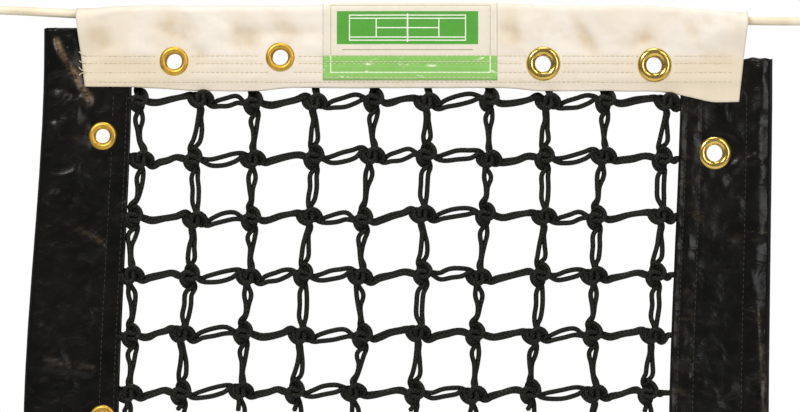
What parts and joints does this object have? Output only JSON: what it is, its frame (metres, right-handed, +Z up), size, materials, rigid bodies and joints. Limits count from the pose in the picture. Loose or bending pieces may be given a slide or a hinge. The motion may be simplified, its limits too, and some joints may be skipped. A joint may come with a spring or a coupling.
{
  "type": "tennis net",
  "caption": "Narrow full-height tennis net on a coated cable: folded white headband, square black mesh, black side bands with brass grommets and dowel pockets, and a bottom band.",
  "frame": {"origin": "on the cable's axis, midway along the headband", "axes": "+X along the cable, to the right seen from the front; +Y to the back; +Z up. The front has the label."},
  "size_m": [0.7769, 0.0246, 1.087],
  "materials": {
    "white_vinyl": "smooth vinyl-coated cloth, soft sheen, faint tan scuffs",
    "black_vinyl": "glossy, creased flexible vinyl",
    "black_twine": "braided matte twine with a faint olive tint",
    "matte_brass": "satin",
    "bright_brass": "polished",
    "cable_vinyl": "ivory vinyl coating",
    "galvanised_wire": "zinc, slightly dull",
    "ferrule_aluminium": "pressed, satin",
    "label_sheet": "printed flexible film",
    "white_thread": "polyester thread",
    "black_thread": "polyester thread",
    "fibreglass": "pultruded rod"
  },
  "bodies": {
    "cable": {"wire_core": "galvanised_wire", "cable_jacket": "cable_vinyl", "left_cable_tail": "cable_vinyl", "right_cable_tail": "cable_vinyl", "left_ferrule": "ferrule_aluminium", "right_ferrule": "ferrule_aluminium", "left_eye_wire": "galvanised_wire", "right_eye_wire": "galvanised_wire", "left_thimble": "galvanised_wire", "right_thimble": "galvanised_wire"},
    "net": {"headband": "white_vinyl", "headband_stitching": "white_thread", "label": "label_sheet", "label_stitching": "white_thread", "headband_left_grommets": "matte_brass", "headband_left_washers": "matte_brass", "headband_right_grommets": "bright_brass", "headband_right_washers": "bright_brass", "left_band": "black_vinyl", "left_band_stitching": "black_thread", "left_band_grommets": "matte_brass", "left_band_washers": "matte_brass", "right_band": "black_vinyl", "right_band_stitching": "black_thread", "right_band_grommets": "bright_brass", "right_band_washers": "bright_brass", "bottom_band": "black_vinyl", "bottom_band_stitching": "black_thread", "netting_double": "black_twine", "netting_single": "black_twine"},
    "left_dowel": {"left_dowel": "fibreglass"},
    "right_dowel": {"right_dowel": "fibreglass"}
  },
  "joints": [
    {"name": "net_swing", "type": "hinge", "parent": "cable", "child": "net", "pos_m": [0, 0, 0], "axis": [1, 0, 0], "range_deg": [-90, 90]},
    {"name": "left_dowel_slide", "type": "slide", "parent": "net", "child": "left_dowel", "axis": [0, 0, 1], "range_m": [0, 0.9]},
    {"name": "right_dowel_slide", "type": "slide", "parent": "net", "child": "right_dowel", "axis": [0, 0, 1], "range_m": [0, 0.9]}
  ]
}
